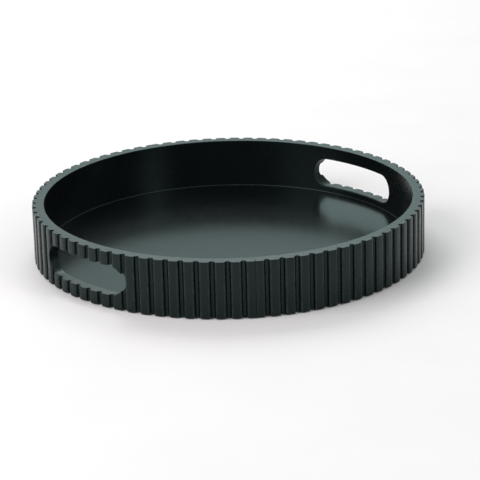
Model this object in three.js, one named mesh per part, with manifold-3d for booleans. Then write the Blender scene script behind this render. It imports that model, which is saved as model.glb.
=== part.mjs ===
// A round serving tray, 400 mm across, built as a joiner builds it. A hoop of bent plywood sits in a
// rebate round the top edge of a board disc, and eight countersunk screws come up through the disc into
// it. Two strips of reeded board are bent round the outside and glued to the hoop and to the disc's
// edge. Their ends meet in two butt seams, where two part ribs stand side by side as one wide rib. Two
// hand slots are cut through the wall, opposite each other, and four felt pads carry the tray clear of
// the table.
//
// Millimetres, +Z up. The origin is on the table under the tray's centre, and the slots are on the X axis.
import * as THREE from "three";
import { mergeVertices } from "three/addons/utils/BufferGeometryUtils.js";
import Module from "manifold-3d";

const wasm = await Module();
wasm.setup();

// The wall: a plain hoop inside, the reeded strips outside.
const TRAY_RADIUS = 200; // over the crowns of the ribs
const RIM_TOP = 58.3;
const WALL_FOOT = 1; // the strips' lower edge
const STRIP_THICKNESS = 6;
const HOOP_THICKNESS = 6;
const GLUE_LINE = 0.15; // between glued faces
const BUTT_GAP = 0.3; // between the two ends that meet in a seam

// The reeding. Angles are in degrees about Z from +X.
const LONG_STRIP_RIBS = 44; // whole ribs, with a part rib at each end
const SHORT_STRIP_RIBS = 36;
const FRONT_SEAM_PITCHES = 1.47; // the width of the rib that the two part ribs make
const REAR_SEAM_PITCHES = 1.3;
const FRONT_SEAM_ANGLE = -125.9;
const GROOVE_WIDTH = 4.8; // where its sides are steepest
const GROOVE_DEPTH = 3.5;
const SHOULDER_WIDTH = 2.6; // the rounding between a rib's crown and the groove's side
const SHOULDER_DEPTH = 1.6;

// The floor and what carries it.
const FLOOR_TOP = 7.2;
const PANEL_THICKNESS = 5;
const REBATE_DEPTH = 2; // round the panel's top edge, where the hoop sits
const PAD_RADIUS = 10;
const PAD_RING_RADIUS = 165; // from the tray's axis to each pad's centre
const PAD_COUNT = 4;
const ADHESIVE = 0.1; // between a pad and the panel

// The hand slots: level, with full-round ends, about halfway up the wall.
const SLOT_LENGTH = 111;
const SLOT_HEIGHT = 30.2;
const SLOT_MIDDLE = 29.4;

// The screws, which stand head down in the panel.
const SCREW_COUNT = 8;
const SCREW_LENGTH = 14;
const SCREW_RADIUS = 1.25;
const HEAD_RADIUS = 2.5;
const HEAD_HEIGHT = 1.5;
const HEAD_RECESS = 0.2; // below the panel's underside
const CROSS_LENGTH = 2.6;
const CROSS_WIDTH = 0.6;
const CROSS_DEPTH = 0.9;
const TIP_LENGTH = 2;
const SCREW_CLEARANCE = 0.2; // all round a screw, where the thread bites into the wood

// Worked out from those.
const STRIP_INNER_RADIUS = TRAY_RADIUS - STRIP_THICKNESS;
const HOOP_OUTER_RADIUS = STRIP_INNER_RADIUS - GLUE_LINE;
const HOOP_INNER_RADIUS = STRIP_INNER_RADIUS - HOOP_THICKNESS;
const HOOP_SEAM_ANGLE = 90; // the hoop's own butt joint, clear of the slots and of the strips' seams
const PANEL_UNDERSIDE = FLOOR_TOP - PANEL_THICKNESS;
const REBATE_FLOOR = FLOOR_TOP - REBATE_DEPTH;
const SCREW_RING_RADIUS = (HOOP_OUTER_RADIUS + HOOP_INNER_RADIUS) / 2;
const ALL_PITCHES = LONG_STRIP_RIBS + SHORT_STRIP_RIBS + FRONT_SEAM_PITCHES + REAR_SEAM_PITCHES;
const RIB_PITCH = 360 / ALL_PITCHES; // degrees from groove to groove
const LONG_STRIP_PITCHES = FRONT_SEAM_PITCHES / 2 + LONG_STRIP_RIBS + REAR_SEAM_PITCHES / 2;
const REAR_SEAM_ANGLE = FRONT_SEAM_ANGLE + LONG_STRIP_PITCHES * RIB_PITCH;

const ARC_SEGMENTS = 120; // in each long arc of the hoop, the panel and the strips' inner faces
const HOLE_SEGMENTS = 12;
const PAD_SEGMENTS = 28;

const lacquer = new THREE.MeshStandardMaterial({ color: 0x1a2424, roughness: 0.42, metalness: 0 });
const felt = new THREE.MeshStandardMaterial({ color: 0x15171a, roughness: 0.95, metalness: 0 });
const zincSteel = new THREE.MeshStandardMaterial({ color: 0x9a9c9e, roughness: 0.35, metalness: 1 });

const radians = THREE.MathUtils.degToRad;

function solidOf(geometry) {
  const bare = geometry.clone();
  bare.deleteAttribute("normal");
  bare.deleteAttribute("uv");
  const merged = mergeVertices(bare);
  return new wasm.Manifold(
    new wasm.Mesh({
      numProp: 3,
      vertProperties: merged.attributes.position.array,
      triVerts: new Uint32Array(merged.index.array),
    }),
  );
}

function geometryOf(solid) {
  const mesh = solid.getMesh();
  return new THREE.BufferGeometry()
    .setAttribute("position", new THREE.BufferAttribute(mesh.vertProperties, 3))
    .setIndex(new THREE.BufferAttribute(mesh.triVerts, 1));
}

function named(name, geometry, material) {
  const mesh = new THREE.Mesh(geometry, material);
  mesh.name = name;
  return mesh;
}

// A point on the wall's plan, a distance in from the rib crowns.
function planPoint(angle, depth) {
  const radius = TRAY_RADIUS - depth;
  return new THREE.Vector2(radius * Math.cos(radians(angle)), radius * Math.sin(radians(angle)));
}

// One groove in plan, from the crown on one side of it to the crown on the other. Its bottom is half an ellipse.
function groovePoints(middleAngle) {
  const half = GROOVE_WIDTH / 2;
  const side = [];
  for (const turn of [15, 40, 65, 90]) {
    const below = (GROOVE_DEPTH - SHOULDER_DEPTH) * Math.cos(radians(turn));
    side.push([half * Math.sin(radians(turn)), SHOULDER_DEPTH + below]);
  }
  for (const turn of [60, 30, 0]) {
    const across = half + SHOULDER_WIDTH * (1 - Math.sin(radians(turn)));
    side.push([across, SHOULDER_DEPTH * (1 - Math.cos(radians(turn)))]);
  }
  const otherSide = side.map(([across, depth]) => [-across, depth]).reverse();
  return [...otherSide, ...side].map(([across, depth]) =>
    planPoint(middleAngle + THREE.MathUtils.radToDeg(across / TRAY_RADIUS), depth),
  );
}

// A strip's plan: part rib, whole ribs and part rib along the outside, and a plain arc back inside.
function stripShape(fromAngle, firstPitches, ribs, lastPitches) {
  const toAngle = fromAngle + (firstPitches + ribs + lastPitches) * RIB_PITCH;
  const trim = THREE.MathUtils.radToDeg(BUTT_GAP / 2 / TRAY_RADIUS);
  const start = fromAngle + trim;
  const end = toAngle - trim;
  const firstGroove = fromAngle + firstPitches * RIB_PITCH;
  const lastGroove = toAngle - lastPitches * RIB_PITCH;
  const crownRun = RIB_PITCH / 2; // a part rib's crown runs level from here to the seam

  const outline = [planPoint(start, 0), planPoint(firstGroove - crownRun, 0)];
  for (let groove = 0; groove <= ribs; groove++) {
    const middle = firstGroove + groove * RIB_PITCH;
    outline.push(...groovePoints(middle));
    if (groove < ribs) outline.push(planPoint(middle + RIB_PITCH / 2, 0));
  }
  outline.push(planPoint(lastGroove + crownRun, 0), planPoint(end, 0));

  const shape = new THREE.Shape(outline);
  shape.absarc(0, 0, STRIP_INNER_RADIUS, radians(end), radians(start), true);
  return shape;
}

function extrudeUp(shape, bottom, top, curveSegments) {
  const geometry = new THREE.ExtrudeGeometry(shape, {
    depth: top - bottom,
    bevelEnabled: false,
    curveSegments,
  });
  return geometry.translate(0, 0, bottom);
}

// A bar of the slots' section, right across the tray along X.
function slotBar() {
  const endRadius = SLOT_HEIGHT / 2;
  const endCentre = SLOT_LENGTH / 2 - endRadius;
  const section = new THREE.Shape();
  section.absarc(endCentre, 0, endRadius, -Math.PI / 2, Math.PI / 2, false);
  section.absarc(-endCentre, 0, endRadius, Math.PI / 2, (3 * Math.PI) / 2, false);
  const reach = TRAY_RADIUS + 10;
  const bar = new THREE.ExtrudeGeometry(section, {
    depth: 2 * reach,
    bevelEnabled: false,
    curveSegments: 12,
  });
  // The section's length goes along Y and its height along Z.
  return bar.translate(0, 0, -reach).rotateX(Math.PI / 2).rotateZ(Math.PI / 2).translate(0, 0, SLOT_MIDDLE);
}

const slots = solidOf(slotBar());

function makeStrip(fromAngle, firstPitches, ribs, lastPitches) {
  const plan = stripShape(fromAngle, firstPitches, ribs, lastPitches);
  const strip = solidOf(extrudeUp(plan, WALL_FOOT, RIM_TOP, ARC_SEGMENTS / 2));
  return geometryOf(strip.subtract(slots));
}

// A turned profile of [radius, height] pairs, stood up on its axis.
function turned(profile, segments) {
  const points = profile.map(([radius, height]) => new THREE.Vector2(radius, height));
  return new THREE.LatheGeometry(points, segments).rotateX(Math.PI / 2);
}

// A countersunk screw's outline, grown all round by a clearance. Height 0 is the face of its head.
function screwProfile(grow) {
  return [
    [0, -grow],
    [HEAD_RADIUS + grow, -grow],
    [SCREW_RADIUS + grow, HEAD_HEIGHT],
    [SCREW_RADIUS + grow, SCREW_LENGTH - TIP_LENGTH],
    [0, SCREW_LENGTH + grow],
  ];
}

function screwGeometry() {
  const arm = solidOf(new THREE.BoxGeometry(CROSS_LENGTH, CROSS_WIDTH, 2 * CROSS_DEPTH));
  const cross = arm.add(solidOf(new THREE.BoxGeometry(CROSS_WIDTH, CROSS_LENGTH, 2 * CROSS_DEPTH)));
  return geometryOf(solidOf(turned(screwProfile(0), HOLE_SEGMENTS)).subtract(cross));
}

// Places round a circle, the first one half a step from +X so that none is under a slot.
function placesRound(count, radius) {
  return Array.from({ length: count }, (_, index) => {
    const angle = radians(((index + 0.5) * 360) / count);
    return [radius * Math.cos(angle), radius * Math.sin(angle)];
  });
}

const screwPlaces = placesRound(SCREW_COUNT, SCREW_RING_RADIUS);
const screwHead = PANEL_UNDERSIDE + HEAD_RECESS;

function drillForScrews(solid) {
  return screwPlaces.reduce((drilled, [x, y]) => {
    const hole = turned(screwProfile(SCREW_CLEARANCE), HOLE_SEGMENTS).translate(x, y, screwHead);
    const mouth = new THREE.CylinderGeometry(
      HEAD_RADIUS + SCREW_CLEARANCE,
      HEAD_RADIUS + SCREW_CLEARANCE,
      2 * HEAD_RECESS,
      HOLE_SEGMENTS,
    )
      .rotateX(Math.PI / 2)
      .translate(x, y, PANEL_UNDERSIDE);
    return drilled.subtract(solidOf(hole)).subtract(solidOf(mouth));
  }, solid);
}

function makeHoop() {
  const trim = BUTT_GAP / 2 / TRAY_RADIUS;
  const start = radians(HOOP_SEAM_ANGLE) + trim;
  const end = radians(HOOP_SEAM_ANGLE + 360) - trim;
  const plan = new THREE.Shape();
  plan.absarc(0, 0, HOOP_OUTER_RADIUS, start, end, false);
  plan.absarc(0, 0, HOOP_INNER_RADIUS, end, start, true);
  const hoop = solidOf(extrudeUp(plan, REBATE_FLOOR + GLUE_LINE, RIM_TOP, ARC_SEGMENTS));
  return geometryOf(drillForScrews(hoop.subtract(slots)));
}

function makePanel() {
  const profile = [
    [0, PANEL_UNDERSIDE],
    [HOOP_OUTER_RADIUS, PANEL_UNDERSIDE],
    [HOOP_OUTER_RADIUS, REBATE_FLOOR],
    [HOOP_INNER_RADIUS - GLUE_LINE, REBATE_FLOOR],
    [HOOP_INNER_RADIUS - GLUE_LINE, FLOOR_TOP],
    [0, FLOOR_TOP],
  ];
  return geometryOf(drillForScrews(solidOf(turned(profile, ARC_SEGMENTS))));
}

function makePad() {
  const thickness = PANEL_UNDERSIDE - ADHESIVE;
  const pad = new THREE.CylinderGeometry(PAD_RADIUS, PAD_RADIUS, thickness, PAD_SEGMENTS);
  return pad.rotateX(Math.PI / 2).translate(0, 0, thickness / 2);
}

const tray = new THREE.Group();
tray.add(named("base_panel", makePanel(), lacquer));
tray.add(named("inner_hoop", makeHoop(), lacquer));
tray.add(
  named(
    "reeded_strip_long",
    makeStrip(FRONT_SEAM_ANGLE, FRONT_SEAM_PITCHES / 2, LONG_STRIP_RIBS, REAR_SEAM_PITCHES / 2),
    lacquer,
  ),
);
tray.add(
  named(
    "reeded_strip_short",
    makeStrip(REAR_SEAM_ANGLE, REAR_SEAM_PITCHES / 2, SHORT_STRIP_RIBS, FRONT_SEAM_PITCHES / 2),
    lacquer,
  ),
);

placesRound(PAD_COUNT, PAD_RING_RADIUS).forEach(([x, y], index) => {
  const pad = named(`felt_pad_${index + 1}`, makePad(), felt);
  pad.position.set(x, y, 0);
  tray.add(pad);
});

screwPlaces.forEach(([x, y], index) => {
  const screw = named(`base_screw_${index + 1}`, screwGeometry(), zincSteel);
  screw.position.set(x, y, screwHead);
  tray.add(screw);
});

export default tray;
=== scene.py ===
"""The looks of a round reeded serving tray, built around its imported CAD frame. Metres, +Z up."""

import math

import bmesh
import bpy
import numpy as np
from mathutils import Matrix, Vector, noise
from mathutils.geometry import delaunay_2d_cdt


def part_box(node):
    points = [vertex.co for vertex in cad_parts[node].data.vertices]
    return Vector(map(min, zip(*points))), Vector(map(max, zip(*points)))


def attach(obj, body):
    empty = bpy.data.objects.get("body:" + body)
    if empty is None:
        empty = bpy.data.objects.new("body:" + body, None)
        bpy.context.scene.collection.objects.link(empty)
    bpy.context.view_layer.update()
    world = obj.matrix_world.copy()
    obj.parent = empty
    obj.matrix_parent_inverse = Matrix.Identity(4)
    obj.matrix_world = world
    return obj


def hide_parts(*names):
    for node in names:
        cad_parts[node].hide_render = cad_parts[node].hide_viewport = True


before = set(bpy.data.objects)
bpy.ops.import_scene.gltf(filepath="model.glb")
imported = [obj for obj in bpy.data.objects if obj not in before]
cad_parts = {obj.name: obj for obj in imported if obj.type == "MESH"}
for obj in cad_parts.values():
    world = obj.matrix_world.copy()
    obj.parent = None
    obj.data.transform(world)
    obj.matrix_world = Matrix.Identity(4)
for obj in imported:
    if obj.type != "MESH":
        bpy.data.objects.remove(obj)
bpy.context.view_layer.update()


def reach(node):
    """How near a CAD node's points come to the tray's axis, and how far from it they go."""
    distances = [math.hypot(v.co.x, v.co.y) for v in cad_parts[node].data.vertices]
    return min(distances), max(distances)


# Sizes that the frame gives.
STRIP_INNER_RADIUS, TRAY_RADIUS = reach("reeded_strip_long")
HOOP_INNER_RADIUS, HOOP_OUTER_RADIUS = reach("inner_hoop")
GLUE_RADIUS = (STRIP_INNER_RADIUS + HOOP_OUTER_RADIUS) / 2
WALL_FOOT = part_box("reeded_strip_long")[0].z
HOOP_FOOT, RIM_TOP = (corner.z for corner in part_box("inner_hoop"))
FLOOR_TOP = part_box("base_panel")[1].z

# The reeding, laid out as in the frame. Angles are in degrees about Z from +X.
LONG_STRIP_RIBS = 44
SHORT_STRIP_RIBS = 36
FRONT_SEAM_PITCHES = 1.47
REAR_SEAM_PITCHES = 1.3
ALL_PITCHES = LONG_STRIP_RIBS + SHORT_STRIP_RIBS + FRONT_SEAM_PITCHES + REAR_SEAM_PITCHES
RIB_PITCH = 360 / ALL_PITCHES
FRONT_SEAM_ANGLE = -125.9
LONG_STRIP_PITCHES = FRONT_SEAM_PITCHES / 2 + LONG_STRIP_RIBS + REAR_SEAM_PITCHES / 2
REAR_SEAM_ANGLE = FRONT_SEAM_ANGLE + LONG_STRIP_PITCHES * RIB_PITCH
HOOP_SEAM_ANGLE = 90
GROOVE_WIDTH = 0.0048  # where its sides are steepest
GROOVE_DEPTH = 0.0039
SHOULDER_WIDTH = 0.0028
SHOULDER_DEPTH = 0.0019

# The hand slots.
SLOT_LENGTH = 0.111
SLOT_RADIUS = 0.0151
SLOT_MIDDLE = 0.0294
SLOT_STRAIGHT = SLOT_LENGTH / 2 - SLOT_RADIUS  # from the slot's middle to where its end starts to turn

# How softly each edge is rounded, and the joints that show faintly through the lacquer.
RIB_EDGE = 0.0005
RIM_INNER_EDGE = 0.0005
SLOT_OUTER_EDGE = 0.00035
SLOT_INNER_EDGE = 0.0015
JOINT_EDGE = 0.00005
SEAM_CHAMFER = 0.0003
SEAM_GAP = 0.0002
SEAM_TRIM = math.degrees(SEAM_GAP / 2 / TRAY_RADIUS)
SEAM_WEAR_AND_HIGHLIGHT = 0.4  # how pale the edge is where each strip starts: edge wear with a painted highlight
GLUE_HALF = 0.00001

# The bead of lacquer in the corner of the floor.
COVE = 0.0009
COVE_BEDDING = 0.0002
COVE_LIP = 0.00001  # how thick its edge on the floor is
COVE_FEATHER = 0.12  # how much of its arc is left off at each end, in radians
# How pale the cove bead is made: a painted highlight for the light line along the floor's corner.
COVE_PAINTED_HIGHLIGHT = 0.8

# Under the tray.
PAD_COUNT = 4
PAD_EDGE = 0.0005
PAD_FRAY = 0.02  # the most that the edge is drawn in, as a share of the radius
PAD_FRAY_FROM = 0.9  # where the fraying starts, as a share of the radius
PAD_FRAY_PER_METRE = 900
SCREW_COUNT = 8

# How finely the round shapes are made. Turns are in degrees.
GROOVE_BOTTOM_TURNS = (8, 24, 39, 53, 66, 78, 90)
SHOULDER_TURNS = (78, 65, 52, 39, 26, 13, 0)
SLOT_END_TURNS = range(0, 90, 6)
MOUTH_STEPS = 4
EDGE_POINTS = 4
LAST_EDGE_POINT = EDGE_POINTS - 1
GLUE_FACE_STEPS_PER_RIB = 8
HOOP_STEPS = 720
COVE_STEPS = 360
COVE_ARC_POINTS = 6
PAD_STEPS = 72
PAD_EDGE_POINTS = 6
SMOOTH_BELOW = 35  # degrees between two faces that are shaded as one
ROUNDING = 1e-9
CLOSE_IN_PLANE = 1e-8
CLOSE_IN_SPACE = 1e-7
INSIDE_OUTLINE = 1  # delaunay_2d_cdt's output type for triangles that fill an outline

# Finishes: colours, and roughness from least to most.
LACQUER_DEEP = (0.0030, 0.0042, 0.0043)
LACQUER_THIN = (0.0042, 0.0056, 0.0056)
LACQUER_GRAIN = (0.0060, 0.0076, 0.0074)
# Pale lacquer for rubbed edges, painted highlights on edges, rib shoulders and the floor's corner, and
# routing streaks.
LACQUER_PALE = (0.030, 0.037, 0.036)
LACQUER_SPECULAR = 0.28
LACQUER_TINT = (0.66, 1.0, 0.97, 1.0)
LACQUER_ROUGH = (0.25, 0.30)
ROUTED_ROUGH = 0.09  # added to it where a slot is cut
FLOOR_ROUGH = (0.18, 0.205)
FLOOR_SPECULAR = 0.2
GRAIN_SHOWS = 0.35
WEAR_AND_HIGHLIGHT_SHOWS = 0.7
ROUTING_SHOWS = 0.6
DUST_SHOWS = 0.7
DUST = (0.09, 0.09, 0.085)
FELT_DEEP = (0.006, 0.006, 0.007)
FELT_PALE = (0.05, 0.05, 0.052)
STEEL_DARK = (0.42, 0.42, 0.40)
STEEL_BRIGHT = (0.66, 0.65, 0.61)
NOISE_RANGE = (0.3, 0.7)  # where most of a noise's values lie
PAPER_DIM = (0.89, 0.85, 0.85)
PAPER_BRIGHT = (0.91, 0.87, 0.87)

# The studio. Directions are in degrees from +X, as seen from above.
CAMERA_AT = Vector((-1.5677, -1.6929, 0.829))
LOOK_AT = Vector((0.0080, -0.0074, 0.0094))
CAMERA_ROLL = -0.02559
CAMERA_LENS = 178.6
CAMERA_SEES_TO = 100
PAPER_REACH = 9
SKY = (0.41, 0.43, 0.43)
GLOW_DIRECTION = 34
GLOW_ELEVATION = 14
GLOW_TIGHTNESS = 5
GLOW_COLOUR = (0.45, 0.70, 0.69)
SOFT_BOXES = [
    # name, direction, distance, elevation, width and height, power
    ("left_box", 166, 2.2, 36, (1.6, 1.6), 28),
    ("back_box", 58, 2.2, 46, (1.4, 1.2), 21),
    ("right_box", -82, 2.0, 28, (0.4, 1.1), 7),
]


# ---------------------------------------------------------------- mesh making


class Skin:
    """A mesh in the making: faces, and points with their normals, how much edge wear and painted highlight
    each has, and how freshly cut.
    """

    def __init__(self):
        self.points, self.normals, self.worn, self.cut, self.faces = [], [], [], [], []

    def add(self, point, normal, worn=0.0, cut=0.0):
        self.points.append(Vector(point))
        self.normals.append(Vector(normal).normalized())
        self.worn.append(worn)
        self.cut.append(cut)
        return len(self.points) - 1

    def face(self, corners):
        ring = [corner for i, corner in enumerate(corners) if corner != corners[i - 1]]
        if len(set(ring)) > 2:
            self.faces.append(ring)

    def fill(self, line, other, lay_out):
        """Triangles between two lines of points that run the same way, chosen in the plane of lay_out."""
        ring = line + other[::-1]
        flat = [Vector(place) for place in lay_out(np.array([self.points[i] for i in ring]))]
        outline = [list(range(len(ring)))]
        _, _, triangles, sources, _, _ = delaunay_2d_cdt(flat, [], outline, INSIDE_OUTLINE, CLOSE_IN_PLANE)
        for triangle in triangles:
            self.face([ring[sources[corner][0]] for corner in triangle])

    def piece(self, name, material):
        mesh = bpy.data.meshes.new(name)
        mesh.from_pydata(self.points, [], self.faces)
        made = bmesh.new()
        made.from_mesh(mesh)
        bmesh.ops.recalc_face_normals(made, faces=made.faces)
        bmesh.ops.triangulate(made, faces=[face for face in made.faces if len(face.verts) > 4])
        made.to_mesh(mesh)
        made.free()
        for mark, values in (("worn", self.worn), ("cut", self.cut)):
            mesh.attributes.new(mark, "FLOAT", "POINT").data.foreach_set("value", values)
        mesh.shade_smooth()
        mesh.normals_split_custom_set_from_vertices(self.normals)
        return shown(name, mesh, material)


def shown(name, mesh, material):
    """A mesh put in the scene as an object, with its material."""
    mesh.materials.append(material)
    made = bpy.data.objects.new(name, mesh)
    bpy.context.scene.collection.objects.link(made)
    return made


def part_of_tray(piece, slot, *nodes):
    """Fixes a piece to the tray and hides the CAD nodes it stands for; its finish slot is not used."""
    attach(piece, "root")
    if nodes:
        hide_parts(*nodes)
    return piece


def unrolled(points):
    """The wall's points laid flat: how far round the tray, and how far from its axis."""
    angles = np.unwrap(np.arctan2(points[:, 1], points[:, 0]))
    return np.column_stack([angles * TRAY_RADIUS, np.hypot(points[:, 0], points[:, 1])])


def along_slot(points):
    """The points of a slot's walls laid flat: how far along its outline, and how far through the wall."""
    past = np.clip((np.abs(points[:, 1]) - SLOT_STRAIGHT) / SLOT_RADIUS, 0, 1)
    along = np.minimum(np.abs(points[:, 1]), SLOT_STRAIGHT) + SLOT_RADIUS * np.arcsin(past)
    return np.column_stack([np.sign(points[:, 1]) * along, np.abs(points[:, 0])])


# ---------------------------------------------------------------- the wall


def on_plan(angle, radius):
    """The x and y of a place round the tray."""
    return radius * math.cos(math.radians(angle)), radius * math.sin(math.radians(angle))


def plain_plan(start, end, radius, steps):
    """An arc of the wall in plan, as rows of x, y and how much edge wear and painted highlight it has
    there.
    """
    return np.array([(*on_plan(angle, radius), 0.0) for angle in np.linspace(start, end, steps + 1)])


def groove_side():
    """Half a groove and half the rib beside it, as rows of distance from the groove, depth, and a painted
    highlight on the rib's shoulder.
    """
    half = GROOVE_WIDTH / 2
    rib_middle = TRAY_RADIUS * math.radians(RIB_PITCH) / 2
    side = []
    for turn in np.radians(GROOVE_BOTTOM_TURNS):
        below = (GROOVE_DEPTH - SHOULDER_DEPTH) * math.cos(turn)
        side.append((half * math.sin(turn), SHOULDER_DEPTH + below, 0.0))
    for turn in np.radians(SHOULDER_TURNS):
        across = half + SHOULDER_WIDTH * (1 - math.sin(turn))
        # Painted highlight: the rib's shoulder is made paler round the middle of its turn.
        worn = math.sin(2 * turn) ** 2
        side.append((across, SHOULDER_DEPTH * (1 - math.cos(turn)), worn))
    side.append(((side[-1][0] + rib_middle) / 2, 0.0, 0.0))
    return side


def reeded_plan(start, first_pitches, ribs, last_pitches):
    """A strip's outside in plan, as rows of x, y, and edge wear with painted highlight: a part rib, the
    whole ribs, and a part rib.
    """
    end = start + (first_pitches + ribs + last_pitches) * RIB_PITCH
    chamfer = SEAM_TRIM + math.degrees(SEAM_CHAMFER / TRAY_RADIUS)
    side = [(math.degrees(across / TRAY_RADIUS), depth, worn) for across, depth, worn in groove_side()]
    rows = [(start + SEAM_TRIM, SEAM_CHAMFER, 0.0), (start + chamfer, 0.0, SEAM_WEAR_AND_HIGHLIGHT)]
    for groove in range(ribs + 1):
        middle = start + (first_pitches + groove) * RIB_PITCH
        rows.append((middle - RIB_PITCH / 2, 0.0, 0.0))
        rows += [(middle - across, depth, worn) for across, depth, worn in side[::-1]]
        rows += [(middle + across, depth, worn) for across, depth, worn in side]
    rows.append((end - (last_pitches - 0.5) * RIB_PITCH, 0.0, 0.0))
    rows += [(end - chamfer, 0.0, 0.0), (end - SEAM_TRIM, SEAM_CHAMFER, 0.0)]
    return np.array([(*on_plan(angle, TRAY_RADIUS - depth), worn) for angle, depth, worn in rows])


def edge_rings(edge):
    """The rings of a slot's rounded edge, innermost first: number, distance out from the slot, and turn."""
    turns = np.linspace(math.pi / 2, 0, MOUTH_STEPS + 1)
    return [(number + 1, edge * (1 - math.sin(turn)), turn) for number, turn in enumerate(turns)]


def slot_half_height(y, ring):
    """Half the height at y of a slot grown by ring: 0 where it just closes, and None past its end."""
    past = max(abs(y) - SLOT_STRAIGHT, 0)
    left = (SLOT_RADIUS + ring) ** 2 - past**2
    if left < -ROUNDING:
        return None
    return math.sqrt(left) if left > ROUNDING else 0.0


def with_directions(plan):
    """The plan with the direction along it added to each row."""
    steps = np.diff(plan[:, :2], axis=0)
    steps /= np.linalg.norm(steps, axis=1, keepdims=True)
    along = np.vstack([steps[:1], steps[:-1] + steps[1:], steps[-1:]])
    return np.hstack([plan, along / np.linalg.norm(along, axis=1, keepdims=True)])


def with_slot_columns(plan, edge):
    """The plan with more points where it crosses a slot's round ends, and one where each ring closes."""
    turns = np.radians(SLOT_END_TURNS)
    reaches = [SLOT_STRAIGHT + SLOT_RADIUS * math.sin(turn) for turn in turns]
    reaches += [SLOT_LENGTH / 2 + ring for _, ring, _ in edge_rings(edge)]
    for level in [side * distance for distance in reaches for side in (-1, 1)]:
        rows = [plan[0]]
        for before, after in zip(plan, plan[1:]):
            if (before[1] - level) * (after[1] - level) < 0:
                share = (level - before[1]) / (after[1] - before[1])
                crossing = before + (after - before) * share
                crossing[1] = level
                rows.append(crossing)
            rows.append(after)
        plan = np.array(rows)
    return plan


def rounded_end(skin, place, out, up, edge, worn):
    """Points round the edge of an upright face and the level face above it (up 1) or below it (up -1)."""
    made = []
    for turn in np.linspace(0, math.pi / 2, EDGE_POINTS):
        point = place - out * edge * (1 - math.cos(turn)) - Vector((0, 0, up * edge * (1 - math.sin(turn))))
        normal = out * math.cos(turn) + Vector((0, 0, up * math.sin(turn)))
        # Paler round the middle of the rounding: edge wear with a painted highlight.
        made.append(skin.add(point, normal, max(worn, math.sin(2 * turn))))
    return made


def slot_mouth(skin, point, out, inward, worn, edge):
    """The points of one column on the rounded edge of a slot, by label, from the lowest up."""
    column = {}
    rings = edge_rings(edge)
    past = math.copysign(max(abs(point.y) - SLOT_STRAIGHT, 0), point.y)
    for sign, ordered in ((-1, rings[::-1]), (1, rings)):
        for number, ring, turn in ordered:
            half = slot_half_height(point.y, ring)
            if half is None:
                continue
            if half == 0 and sign > 0:
                column[number] = column[-number]
                continue
            away = Vector((0, past, sign * half)).normalized()
            place = Vector((point.x, point.y, SLOT_MIDDLE + sign * half))
            place += inward * edge * (1 - math.cos(turn))
            normal = out * math.cos(turn) - away * math.sin(turn)
            # The slot's rounded edge is paler round the middle of its turn: edge wear with a painted
            # highlight.
            worn_here = max(worn, math.sin(2 * turn))
            column[sign * number] = skin.add(place, normal, worn_here, math.sin(turn))
    return column


def wall_face(skin, plan, side, low, high, edges, slot_edge):
    """One upright face of the wall, outside (side 1) or inside (-1), with its edges and the slots' mouths
    rounded. Returns its lowest and highest lines, its two end columns, and each slot's two outlines."""
    columns = []
    for x, y, worn, along_x, along_y in with_slot_columns(with_directions(plan), slot_edge):
        out = Vector((along_y, -along_x, 0)).normalized() * side
        inward = Vector((-side * math.copysign(1, x), 0, 0))
        foot = rounded_end(skin, Vector((x, y, low)), out, -1, edges[0], worn)
        column = {("foot", step): foot[step] for step in reversed(range(EDGE_POINTS))}
        column |= slot_mouth(skin, Vector((x, y, 0)), out, inward, worn, slot_edge)
        rim = rounded_end(skin, Vector((x, y, high)), out, 1, edges[1], worn)
        column |= {("rim", step): rim[step] for step in range(EDGE_POINTS)}
        columns.append(column)

    slots, was_open = [], False
    for before, after in zip(columns, columns[1:]):
        shared = [label for label in before if label in after]
        for lower, upper in zip(shared, shared[1:]):
            if (lower, upper) != (-1, 1):
                skin.face(between(before, lower, upper) + between(after, lower, upper)[::-1])
        is_open = 1 in shared
        if is_open and not was_open:
            slots.append(([before[-1]], [before[1]]))
        if is_open:
            slots[-1][0].append(after[-1])
            slots[-1][1].append(after[1])
        was_open = is_open
    return {
        "foot": [column["foot", LAST_EDGE_POINT] for column in columns],
        "rim": [column["rim", LAST_EDGE_POINT] for column in columns],
        "ends": (list(columns[0].values()), list(columns[-1].values())),
        "slots": slots,
    }


def between(column, lower, upper):
    """A column's points from one label to another."""
    labels = list(column)
    return [column[label] for label in labels[labels.index(lower) : labels.index(upper) + 1]]


def wall_piece(name, plans, low, high, outer_edges, inner_edges, slot_edges, material):
    """A closed piece of the wall between two plans, outside and inside."""
    skin = Skin()
    outer = wall_face(skin, plans[0], 1, low, high, outer_edges, slot_edges[0])
    inner = wall_face(skin, plans[1], -1, low, high, inner_edges, slot_edges[1])
    for line in ("foot", "rim"):
        skin.fill(outer[line], inner[line], unrolled)
    for outer_slot, inner_slot in zip(outer["slots"], inner["slots"]):
        for outer_half, inner_half in zip(outer_slot, inner_slot):
            skin.fill(outer_half, inner_half, along_slot)
    for outer_end, inner_end in zip(outer["ends"], inner["ends"]):
        skin.face(outer_end + inner_end[::-1])
    return skin.piece(name, material)


def make_strip(name, node, start, first_pitches, ribs, last_pitches, material):
    """One of the two reeded strips glued round the hoop."""
    end = start + (first_pitches + ribs + last_pitches) * RIB_PITCH
    outside = reeded_plan(start, first_pitches, ribs, last_pitches)
    glue_radius, steps = GLUE_RADIUS + GLUE_HALF, GLUE_FACE_STEPS_PER_RIB * ribs
    inside = plain_plan(start + SEAM_TRIM, end - SEAM_TRIM, glue_radius, steps)
    edges, hidden = (RIB_EDGE, RIB_EDGE), (JOINT_EDGE, JOINT_EDGE)
    mouths = (SLOT_OUTER_EDGE, JOINT_EDGE)
    piece = wall_piece(name, (outside, inside), WALL_FOOT, RIM_TOP, edges, hidden, mouths, material)
    return part_of_tray(piece, "lacquered_wood", node)


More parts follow.
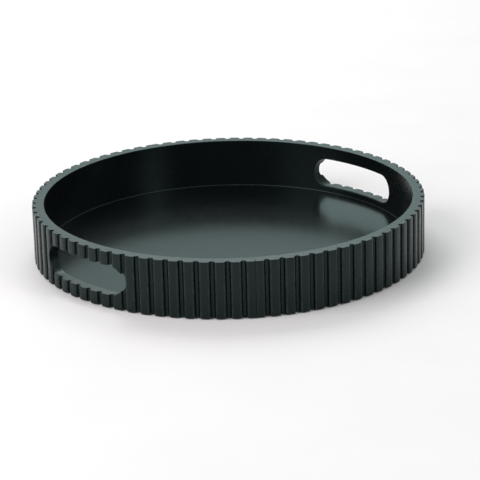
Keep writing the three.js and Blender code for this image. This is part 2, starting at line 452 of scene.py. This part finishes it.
def make_hoop(material):
    """The plain hoop that lines the wall."""
    start, end = HOOP_SEAM_ANGLE + SEAM_TRIM, HOOP_SEAM_ANGLE + 360 - SEAM_TRIM
    outside = plain_plan(start, end, GLUE_RADIUS - GLUE_HALF, HOOP_STEPS)
    inside = plain_plan(start, end, HOOP_INNER_RADIUS, HOOP_STEPS)
    hidden, rounded = (JOINT_EDGE, JOINT_EDGE), (JOINT_EDGE, RIM_INNER_EDGE)
    mouths = (JOINT_EDGE, SLOT_INNER_EDGE)
    piece = wall_piece("hoop", (outside, inside), HOOP_FOOT, RIM_TOP, hidden, rounded, mouths, material)
    return part_of_tray(piece, "lacquered_wood", "inner_hoop")


# ---------------------------------------------------------------- turned pieces


def revolved(name, section, steps, centre, material):
    """A closed solid of revolution about an upright line at centre, from points of radius and z."""
    made = bmesh.new()
    corners = [made.verts.new((radius, 0, z)) for radius, z in section]
    sides = [made.edges.new(pair) for pair in zip(corners, corners[1:] + corners[:1])]
    turn = {"cent": (0, 0, 0), "axis": (0, 0, 1), "angle": 2 * math.pi, "steps": steps, "use_merge": True}
    bmesh.ops.spin(made, geom=corners + sides, **turn)
    bmesh.ops.remove_doubles(made, verts=made.verts, dist=CLOSE_IN_SPACE)
    bmesh.ops.translate(made, verts=made.verts, vec=(*centre, 0))
    bmesh.ops.recalc_face_normals(made, faces=made.faces)
    for edge in made.edges:
        edge.smooth = edge.calc_face_angle(0) < math.radians(SMOOTH_BELOW)
    for face in made.faces:
        face.smooth = True
    mesh = bpy.data.meshes.new(name)
    made.to_mesh(mesh)
    made.free()
    return shown(name, mesh, material)


def make_cove_bead(material):
    """The thin bead of lacquer that has run into the corner between the hoop and the tray's floor."""
    corner, top = HOOP_INNER_RADIUS - COVE, FLOOR_TOP + COVE
    section = [(corner, FLOOR_TOP - COVE_BEDDING), (corner, FLOOR_TOP + COVE_LIP)]
    for turn in np.linspace(COVE_FEATHER, math.pi / 2 - COVE_FEATHER, COVE_ARC_POINTS):
        section.append((corner + COVE * math.sin(turn), top - COVE * math.cos(turn)))
    section += [(HOOP_INNER_RADIUS, top), (HOOP_INNER_RADIUS + COVE_BEDDING, top)]
    section.append((HOOP_INNER_RADIUS + COVE_BEDDING, FLOOR_TOP - COVE_BEDDING))
    bead = revolved("cove_bead", section, COVE_STEPS, (0, 0), material)
    # The whole bead is painted pale, as a highlight along the corner.
    worn = bead.data.attributes.new("worn", "FLOAT", "POINT")
    worn.data.foreach_set("value", [COVE_PAINTED_HIGHLIGHT] * len(bead.data.vertices))
    return part_of_tray(bead, "lacquered_wood")


def make_pad(number, material):
    """A felt pad, its cut edge slightly rounded and uneven."""
    node = f"felt_pad_{number}"
    low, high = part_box(node)
    centre = ((low.x + high.x) / 2, (low.y + high.y) / 2)
    radius = (high.x - low.x) / 2
    section = [(0, low.z), (radius / 2, low.z)]
    for turn in np.linspace(0, math.pi / 2, PAD_EDGE_POINTS):
        out = radius - PAD_EDGE * (1 - math.sin(turn))
        section.append((out, low.z + PAD_EDGE * (1 - math.cos(turn))))
    section += [(radius, high.z - PAD_EDGE / 2), (radius - PAD_EDGE / 2, high.z), (0, high.z)]
    pad = revolved(f"pad_{number}", section, PAD_STEPS, centre, material)
    for vertex in pad.data.vertices:
        from_middle = Vector((vertex.co.x - centre[0], vertex.co.y - centre[1], 0))
        if from_middle.length > radius * PAD_FRAY_FROM:
            uneven = 0.5 + 0.5 * noise.noise(vertex.co * PAD_FRAY_PER_METRE)
            vertex.co -= from_middle * PAD_FRAY * uneven
    return part_of_tray(pad, "pad_felt", node)


# ---------------------------------------------------------------- materials

# A Mix node's sockets for colours, which share their names with those for other values.
MIX_COLOUR_INPUTS = (6, 7)
MIX_COLOUR_OUTPUT = 2


class Look:
    """A node-based material in the making, around one Principled shader."""

    def __init__(self, name, **uniform):
        self.material = bpy.data.materials.new(name)
        self.material.use_nodes = True
        self.tree = self.material.node_tree
        self.shader = self.tree.nodes["Principled BSDF"]
        for socket, value in uniform.items():
            self.shader.inputs[socket.replace("_", " ")].default_value = value
        self.place = self.node("ShaderNodeTexCoord").outputs["Object"]

    def node(self, kind, settings=None, **inputs):
        made = self.tree.nodes.new(kind)
        for setting, value in (settings or {}).items():
            setattr(made, setting, value)
        for socket, value in inputs.items():
            self.feed(made.inputs[socket.replace("_", " ")], value)
        return made

    def feed(self, socket, value):
        if isinstance(value, bpy.types.NodeSocket):
            self.tree.links.new(value, socket)
        else:
            socket.default_value = value

    def drive(self, **inputs):
        for socket, value in inputs.items():
            self.feed(self.shader.inputs[socket.replace("_", " ")], value)

    def noise(self, per_metre, detail, stretch=(1, 1, 1)):
        """A noise of so many bumps to the metre, drawn out along an axis where stretch is under 1."""
        place = self.node("ShaderNodeMapping", Vector=self.place, Scale=stretch).outputs[0]
        made = self.node("ShaderNodeTexNoise", Vector=place, Scale=per_metre, Detail=detail)
        return made.outputs["Fac"]

    def between(self, value, low, high, to_low=0.0, to_high=1.0):
        """The value carried from one range to another, and held to it."""
        limits = {"From_Min": low, "From_Max": high, "To_Min": to_low, "To_Max": to_high}
        return self.node("ShaderNodeMapRange", Value=value, **limits).outputs[0]

    def spread(self, noise_value, to_low=0.0, to_high=1.0):
        """A noise's usual range carried to another."""
        return self.between(noise_value, *NOISE_RANGE, to_low, to_high)

    def worked_out(self, operation, first, second):
        made = self.node("ShaderNodeMath", {"operation": operation})
        self.feed(made.inputs[0], first)
        self.feed(made.inputs[1], second)
        return made.outputs[0]

    def times(self, first, second):
        return self.worked_out("MULTIPLY", first, second)

    def plus(self, first, second):
        return self.worked_out("ADD", first, second)

    def mark(self, name):
        """What the mesh says of each point under that name."""
        return self.node("ShaderNodeAttribute", {"attribute_name": name}).outputs["Fac"]

    def mix(self, share, first, second):
        """Two colours, each a tuple or a socket, mixed by a share of the second."""
        made = self.node("ShaderNodeMix", {"data_type": "RGBA"})
        self.feed(made.inputs[0], share)
        for number, colour in zip(MIX_COLOUR_INPUTS, (first, second)):
            self.feed(made.inputs[number], (*colour, 1) if isinstance(colour, tuple) else colour)
        return made.outputs[MIX_COLOUR_OUTPUT]

    def bump(self, height, distance, strength, under=None):
        """The height as a bump so many metres deep, on top of the bump under it."""
        made = self.node("ShaderNodeBump", Height=height, Distance=distance, Strength=strength)
        if under is not None:
            self.feed(made.inputs["Normal"], under)
        return made.outputs[0]


def lacquer():
    """Green-black lacquer sprayed over wood, paler on its edges from wear and a painted highlight, with
    painted highlights on the rib shoulders and the floor's corner bead, and streaked where it is routed.
    """
    look = Look("lacquer", Specular_IOR_Level=LACQUER_SPECULAR, Specular_Tint=LACQUER_TINT)
    worn, cut = look.mark("worn"), look.mark("cut")
    peel = look.noise(per_metre=620, detail=2)
    waves = look.noise(per_metre=38, detail=3)
    grain = look.noise(per_metre=420, detail=4, stretch=(1, 1, 0.06))
    streaks = look.noise(per_metre=1500, detail=3, stretch=(0.06, 1, 1))
    patches = look.noise(per_metre=170, detail=3)
    sheen = look.noise(per_metre=95, detail=4)
    pores = look.between(grain, low=0.5, high=0.75)
    # Paleness in patches where the mesh marks edge wear and painted highlight.
    rubbed_and_highlight = look.times(worn, look.between(patches, low=0.35, high=0.7, to_low=0.25))
    routed = look.times(cut, look.between(streaks, low=0.5, high=0.72))
    colour = look.mix(look.spread(waves), LACQUER_DEEP, LACQUER_THIN)
    colour = look.mix(look.times(pores, GRAIN_SHOWS), colour, LACQUER_GRAIN)
    colour = look.mix(look.times(rubbed_and_highlight, WEAR_AND_HIGHLIGHT_SHOWS), colour, LACQUER_PALE)
    colour = look.mix(look.times(routed, ROUTING_SHOWS), colour, LACQUER_PALE)
    rough = look.plus(look.spread(sheen, *LACQUER_ROUGH), look.times(cut, ROUTED_ROUGH))
    height = look.bump(peel, distance=0.00003, strength=0.1)
    height = look.bump(grain, distance=0.00003, strength=0.1, under=height)
    height = look.bump(look.times(cut, streaks), distance=0.00022, strength=0.6, under=height)
    look.drive(Base_Color=colour, Roughness=rough, Normal=height)
    return look.material


def floor_lacquer():
    """The same lacquer on the base panel, a little smoother, with a few specks of dust in it."""
    look = Look("floor_lacquer", Specular_IOR_Level=FLOOR_SPECULAR, Specular_Tint=LACQUER_TINT)
    peel = look.noise(per_metre=480, detail=2)
    waves = look.noise(per_metre=22, detail=3)
    sheen = look.noise(per_metre=60, detail=4)
    cells = look.node("ShaderNodeTexVoronoi", Vector=look.place, Scale=210, Randomness=1)
    draw = look.node("ShaderNodeSeparateColor", Color=cells.outputs["Color"]).outputs[0]
    dusty = look.between(draw, low=0.93, high=0.94)
    near = look.between(cells.outputs["Distance"], low=0.03, high=0.09, to_low=1, to_high=0)
    speck = look.times(near, dusty)
    colour = look.mix(look.spread(waves), LACQUER_DEEP, LACQUER_THIN)
    colour = look.mix(look.times(speck, DUST_SHOWS), colour, DUST)
    height = look.bump(peel, distance=0.00002, strength=0.15)
    height = look.bump(speck, distance=0.00005, strength=0.5, under=height)
    look.drive(Base_Color=colour, Roughness=look.spread(sheen, *FLOOR_ROUGH), Normal=height)
    return look.material


def felt():
    """Pressed charcoal felt, its fibres lying every way."""
    look = Look("felt", Specular_IOR_Level=0.1, Sheen_Weight=0.35, Sheen_Roughness=0.6)
    fibres = look.noise(per_metre=2600, detail=5, stretch=(1, 0.3, 1))
    crossed = look.noise(per_metre=2300, detail=5, stretch=(0.3, 1, 1))
    tuft = look.times(fibres, crossed)
    colour = look.mix(look.between(tuft, low=0.12, high=0.4), FELT_DEEP, FELT_PALE)
    rough = look.spread(look.noise(per_metre=900, detail=2), to_low=0.86, to_high=0.98)
    height = look.bump(tuft, distance=0.0004, strength=0.9)
    look.drive(Base_Color=colour, Roughness=rough, Normal=height)
    return look.material


def screw_steel():
    """Zinc-plated steel, brushed by handling."""
    look = Look("screw_steel", Metallic=1.0)
    blotches = look.noise(per_metre=900, detail=3)
    scratches = look.noise(per_metre=2600, detail=3, stretch=(0.1, 1, 1))
    colour = look.mix(look.spread(blotches), STEEL_DARK, STEEL_BRIGHT)
    rough = look.spread(scratches, to_low=0.26, to_high=0.46)
    height = look.bump(scratches, distance=0.00002, strength=0.4)
    look.drive(Base_Color=colour, Roughness=rough, Normal=height)
    return look.material


def studio_floor():
    """Seamless white paper."""
    look = Look("studio_floor", Specular_IOR_Level=0.1)
    shade = look.noise(per_metre=9, detail=3)
    fibres = look.noise(per_metre=700, detail=2)
    colour = look.mix(look.spread(shade), PAPER_DIM, PAPER_BRIGHT)
    rough = look.spread(shade, to_low=0.85, to_high=0.95)
    height = look.bump(fibres, distance=0.00003, strength=0.2)
    look.drive(Base_Color=colour, Roughness=rough, Normal=height)
    return look.material


# ---------------------------------------------------------------- the tray

lacquer_look, felt_look, steel_look = lacquer(), felt(), screw_steel()
make_strip(
    "long_strip", "reeded_strip_long", FRONT_SEAM_ANGLE,
    FRONT_SEAM_PITCHES / 2, LONG_STRIP_RIBS, REAR_SEAM_PITCHES / 2, lacquer_look,
)
make_strip(
    "short_strip", "reeded_strip_short", REAR_SEAM_ANGLE,
    REAR_SEAM_PITCHES / 2, SHORT_STRIP_RIBS, FRONT_SEAM_PITCHES / 2, lacquer_look,
)
make_hoop(lacquer_look)
make_cove_bead(lacquer_look)
for pad_number in range(1, PAD_COUNT + 1):
    make_pad(pad_number, felt_look)


def finish_node(node, material):
    """Gives a CAD node that stays as it is a better material."""
    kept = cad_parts[node]
    kept.data.materials.clear()
    kept.data.materials.append(material)


finish_node("base_panel", floor_lacquer())
for screw_number in range(1, SCREW_COUNT + 1):
    finish_node(f"base_screw_{screw_number}", steel_look)


# ---------------------------------------------------------------- the studio


def upright(direction, distance, elevation):
    """A point so far from the tray's middle in a direction (degrees from +X) and at an elevation."""
    flat = distance * math.cos(math.radians(elevation))
    return Vector((*on_plan(direction, flat), distance * math.sin(math.radians(elevation))))


def soft_box(name, direction, distance, elevation, size, power):
    """A white light, so wide and so tall, turned to the tray's middle."""
    data = bpy.data.lights.new(name, "AREA")
    data.shape = "RECTANGLE"
    data.size, data.size_y = size
    data.energy = power
    made = bpy.data.objects.new(name, data)
    made.location = upright(direction, distance, elevation)
    made.rotation_euler = (-made.location).to_track_quat("-Z", "Y").to_euler()
    made.visible_camera = False
    bpy.context.scene.collection.objects.link(made)


def make_paper():
    """The sheet of paper that the tray stands on."""
    paper = bmesh.new()
    bmesh.ops.create_grid(paper, x_segments=8, y_segments=8, size=PAPER_REACH)
    mesh = bpy.data.meshes.new("studio_floor")
    paper.to_mesh(mesh)
    paper.free()
    shown("studio_floor", mesh, studio_floor())


def make_sky():
    """An even sky with a soft glow around one direction."""
    world = bpy.data.worlds.new("studio")
    world.use_nodes = True
    bpy.context.scene.world = world
    nodes, links = world.node_tree.nodes, world.node_tree.links
    way = nodes.new("ShaderNodeTexCoord").outputs["Generated"]
    nearness = nodes.new("ShaderNodeVectorMath")
    nearness.operation = "DOT_PRODUCT"
    nearness.inputs[1].default_value = upright(GLOW_DIRECTION, 1, GLOW_ELEVATION)
    links.new(way, nearness.inputs[0])
    ahead = nodes.new("ShaderNodeMath")
    ahead.operation = "MAXIMUM"
    ahead.inputs[1].default_value = 0
    links.new(nearness.outputs["Value"], ahead.inputs[0])
    glow = nodes.new("ShaderNodeMath")
    glow.operation = "POWER"
    glow.inputs[1].default_value = GLOW_TIGHTNESS
    links.new(ahead.outputs[0], glow.inputs[0])
    sky = nodes.new("ShaderNodeVectorMath")
    sky.operation = "MULTIPLY_ADD"
    sky.inputs[1].default_value = GLOW_COLOUR
    sky.inputs[2].default_value = SKY
    links.new(glow.outputs[0], sky.inputs[0])
    links.new(sky.outputs[0], nodes["Background"].inputs["Color"])


def make_camera():
    """The camera, looking down over the front of the tray."""
    data = bpy.data.cameras.new("camera")
    data.lens = CAMERA_LENS
    data.clip_end = CAMERA_SEES_TO
    camera = bpy.data.objects.new("camera", data)
    camera.location = CAMERA_AT
    facing = (LOOK_AT - CAMERA_AT).to_track_quat("-Z", "Y").to_matrix()
    camera.rotation_euler = (facing @ Matrix.Rotation(CAMERA_ROLL, 3, "Z")).to_euler()
    bpy.context.scene.collection.objects.link(camera)
    bpy.context.scene.camera = camera


make_paper()
for box in SOFT_BOXES:
    soft_box(*box)
make_sky()
make_camera()
bpy.context.scene.view_settings.view_transform = "Standard"

bpy.context.view_layer.update()
